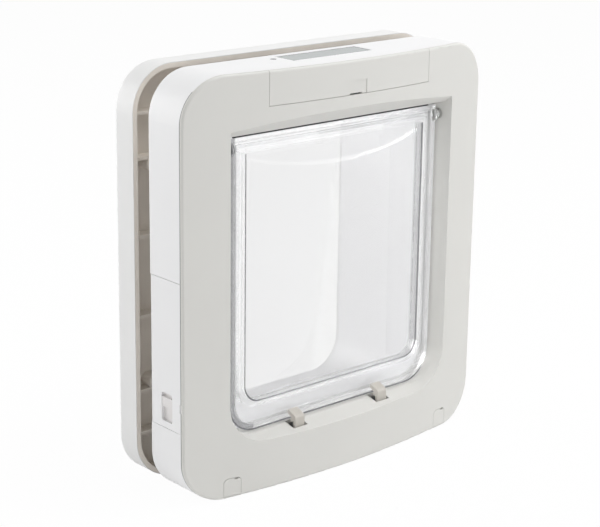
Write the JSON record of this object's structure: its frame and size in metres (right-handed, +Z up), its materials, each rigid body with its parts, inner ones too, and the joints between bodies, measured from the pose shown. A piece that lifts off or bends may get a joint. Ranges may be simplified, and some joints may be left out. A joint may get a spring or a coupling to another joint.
{
  "type": "cat flap",
  "caption": "Door-mounted pet flap with a bowed front cover, clear top-hung flap, latches in the sill, display, battery panel, passage tunnel and sleeved outer frame",
  "frame": {"origin": "middle of the footprint of the whole object, on its lowest edge", "axes": "+X to the right seen from the room, +Y from the room to the outside, +Z up"},
  "size_m": [0.262, 0.1173, 0.279],
  "materials": {
    "cover_plastic": "fine satin grain, warm light grey",
    "white_plastic": "smooth satin moulding, white",
    "clear_plastic": "clear glossy moulding",
    "latch_plastic": "satin, beige grey",
    "bush_plastic": "plain, grey",
    "steel": "zinc plated",
    "coil_body": "dark lacquered frame",
    "board": "green lacquered laminate",
    "window": "smoked glossy window",
    "lens": "dark glossy lens",
    "display": "grey-green display",
    "button_rubber": "dull grey",
    "cell_wrap": "plain wrapped cells, unprinted",
    "contact_metal": "nickel plated",
    "wire": "lacquered wire winding",
    "switch_body": "plain off-white moulding"
  },
  "bodies": {
    "housing": {"front_cover": "cover_plastic", "corner_cap_left": "cover_plastic", "corner_cap_right": "cover_plastic", "inner_housing": "white_plastic", "tunnel": "white_plastic", "outer_frame": "white_plastic", "side_panel": "white_plastic", "pivot_bush_left": "bush_plastic", "pivot_bush_right": "bush_plastic", "latch_coil_left": "coil_body", "latch_coil_right": "coil_body", "fixing_screws": "steel", "cover_screws": "steel", "tunnel_screws": "steel", "mode_switch": "switch_body", "lcd_window": "window", "lcd_module": "display", "sensor_window": "lens", "circuit_board": "board", "battery_box": "white_plastic", "button_boards": "board", "batteries": "cell_wrap", "battery_contacts": "contact_metal", "antenna_coil": "wire"},
    "flap_body": {"flap": "clear_plastic"},
    "latch_left_body": {"latch_left": "latch_plastic"},
    "latch_right_body": {"latch_right": "latch_plastic"},
    "slider_body": {"side_slider": "white_plastic"},
    "battery_cover_body": {"battery_cover": "cover_plastic"},
    "button_left_body": {"button_left": "button_rubber"},
    "button_right_body": {"button_right": "button_rubber"}
  },
  "joints": [
    {"name": "flap_swing", "type": "hinge", "parent": "housing", "child": "flap_body", "pos_m": [0, -0.03895, 0.229], "axis": [1, 0, 0], "range_deg": [0, 75]},
    {"name": "latch_left_drop", "type": "slide", "parent": "housing", "child": "latch_left_body", "axis": [0, 0, -1], "range_m": [0, 0.01], "stiffness_N_per_m": 60, "springref_m": -0.004},
    {"name": "latch_right_drop", "type": "slide", "parent": "housing", "child": "latch_right_body", "axis": [0, 0, -1], "range_m": [0, 0.01], "stiffness_N_per_m": 60, "springref_m": -0.004},
    {"name": "lock_slide", "type": "slide", "parent": "housing", "child": "slider_body", "axis": [0, 0, -1], "range_m": [0, 0.009]},
    {"name": "battery_cover_lift", "type": "slide", "parent": "housing", "child": "battery_cover_body", "axis": [0, -1, 0], "range_m": [0, 0.04]},
    {"name": "button_left_press", "type": "slide", "parent": "housing", "child": "button_left_body", "axis": [0, 1, 0], "range_m": [0, 0.0008], "stiffness_N_per_m": 1000, "springref_m": -0.0006},
    {"name": "button_right_press", "type": "slide", "parent": "housing", "child": "button_right_body", "axis": [0, 1, 0], "range_m": [0, 0.0008], "stiffness_N_per_m": 1000, "springref_m": -0.0006}
  ]
}
